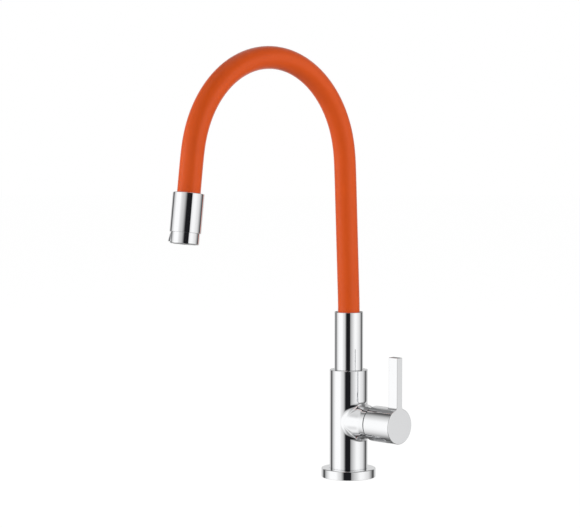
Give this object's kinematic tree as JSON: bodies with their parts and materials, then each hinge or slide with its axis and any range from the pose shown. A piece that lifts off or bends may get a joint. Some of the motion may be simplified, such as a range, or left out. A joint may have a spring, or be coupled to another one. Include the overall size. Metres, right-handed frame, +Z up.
{
  "type": "flexible kitchen faucet",
  "caption": "Single-lever deck-mounted kitchen faucet with a side handle, a bendable silicone-covered hose spout and a small two-mode spray head.",
  "frame": {"origin": "centre of the body's underside, on the deck", "axes": "+Z up, +X along the handle's branch, -Y towards the spout's outlet"},
  "size_m": [0.0965, 0.2648, 0.4315],
  "materials": {
    "chrome": "polished",
    "orange_silicone": "satin",
    "brass": "satin",
    "steel": "satin",
    "black_rubber": "matte",
    "white_plastic": "satin",
    "grey_plastic": "satin",
    "ceramic": "polished",
    "water_tube": "matte"
  },
  "bodies": {
    "base": {"base_flange": "chrome", "base_gasket": "black_rubber", "body": "chrome", "cartridge_base": "grey_plastic", "cartridge_housing": "white_plastic", "cartridge_nut": "brass", "dome_cover": "chrome", "fixed_disc": "ceramic", "port_seal": "black_rubber", "spout_grub_screw": "steel"},
    "rotor": {"cartridge_rotor": "grey_plastic", "pivot_pin": "steel"},
    "disc": {"disc_carrier": "white_plastic", "moving_disc": "ceramic"},
    "handle": {"handle_set_screw": "steel", "lever_handle": "chrome", "screw_cap": "grey_plastic", "stem": "brass"},
    "spout": {"gooseneck_1": "steel", "lower_ferrule": "brass", "riser_collar": "chrome", "sleeve_1": "orange_silicone", "spigot_seal_1": "black_rubber", "spigot_seal_2": "black_rubber", "swivel_spigot": "brass", "swivel_washer": "grey_plastic", "water_hose_1": "water_tube"},
    "hose_2": {"gooseneck_2": "steel", "sleeve_2": "orange_silicone", "water_hose_2": "water_tube"},
    "hose_3": {"gooseneck_3": "steel", "sleeve_3": "orange_silicone", "water_hose_3": "water_tube"},
    "hose_4": {"gooseneck_4": "steel", "sleeve_4": "orange_silicone", "water_hose_4": "water_tube"},
    "hose_5": {"gooseneck_5": "steel", "sleeve_5": "orange_silicone", "water_hose_5": "water_tube"},
    "hose_6": {"gooseneck_6": "steel", "sleeve_6": "orange_silicone", "water_hose_6": "water_tube"},
    "hose_7": {"gooseneck_7": "steel", "sleeve_7": "orange_silicone", "water_hose_7": "water_tube"},
    "hose_8": {"gooseneck_8": "steel", "nipple_seal": "black_rubber", "sleeve_8": "orange_silicone", "snap_ring": "steel", "upper_ferrule": "brass", "water_hose_8": "water_tube"},
    "head": {"head_core": "white_plastic", "head_shell": "chrome"},
    "mode": {"aerator": "white_plastic", "aerator_screen": "steel", "diverter_disc": "white_plastic", "mode_ring": "chrome", "spray_plate": "grey_plastic"}
  },
  "joints": [
    {"name": "handle_turn", "type": "hinge", "parent": "base", "child": "rotor", "pos_m": [0, 0, 0.0578], "axis": [1, 0, 0], "range_deg": [-45, 45]},
    {"name": "handle_lift", "type": "hinge", "parent": "rotor", "child": "handle", "pos_m": [0.0332, 0, 0.0578], "axis": [0, 1, 0], "range_deg": [0, 22]},
    {"name": "disc_slide", "type": "slide", "parent": "rotor", "child": "disc", "axis": [0, 0, 1], "range_m": [0, 0.0038]},
    {"name": "spout_swivel", "type": "hinge", "parent": "base", "child": "spout", "pos_m": [0, 0, 0], "axis": [0, 0, 1], "continuous": true},
    {"name": "hose_bend_1", "type": "hinge", "parent": "spout", "child": "hose_2", "pos_m": [0, -0.0023, 0.23045], "axis": [0, 0.9991, 0.0419], "range_deg": [-20, 20]},
    {"name": "hose_bend_2", "type": "hinge", "parent": "hose_2", "child": "hose_3", "pos_m": [0, -0.00492, 0.2929], "axis": [1, 0, 0], "range_deg": [-35, 10]},
    {"name": "hose_bend_3", "type": "hinge", "parent": "hose_3", "child": "hose_4", "pos_m": [0, -0.01361, 0.35446], "axis": [1, 0, 0], "range_deg": [-35, 10]},
    {"name": "hose_bend_4", "type": "hinge", "parent": "hose_4", "child": "hose_5", "pos_m": [0, -0.05195, 0.40262], "axis": [1, 0, 0], "range_deg": [-35, 10]},
    {"name": "hose_bend_5", "type": "hinge", "parent": "hose_5", "child": "hose_6", "pos_m": [0, -0.11085, 0.42049], "axis": [1, 0, 0], "range_deg": [-35, 10]},
    {"name": "hose_bend_6", "type": "hinge", "parent": "hose_6", "child": "hose_7", "pos_m": [0, -0.16948, 0.40175], "axis": [1, 0, 0], "range_deg": [-35, 10]},
    {"name": "hose_bend_7", "type": "hinge", "parent": "hose_7", "child": "hose_8", "pos_m": [0, -0.20712, 0.35304], "axis": [0, -0.937, 0.3492], "range_deg": [-25, 25]},
    {"name": "head_swivel", "type": "hinge", "parent": "hose_8", "child": "head", "pos_m": [0, -0.21805, 0.29166], "axis": [0, -0.122, -0.9925], "continuous": true},
    {"name": "mode_turn", "type": "hinge", "parent": "head", "child": "mode", "pos_m": [0, -0.21805, 0.29166], "axis": [0, -0.122, -0.9925], "range_deg": [0, 90]}
  ],
  "couplings": [
    {"joint": "disc_slide", "follows": "handle_lift", "m_per_rad": 0.0098}
  ]
}
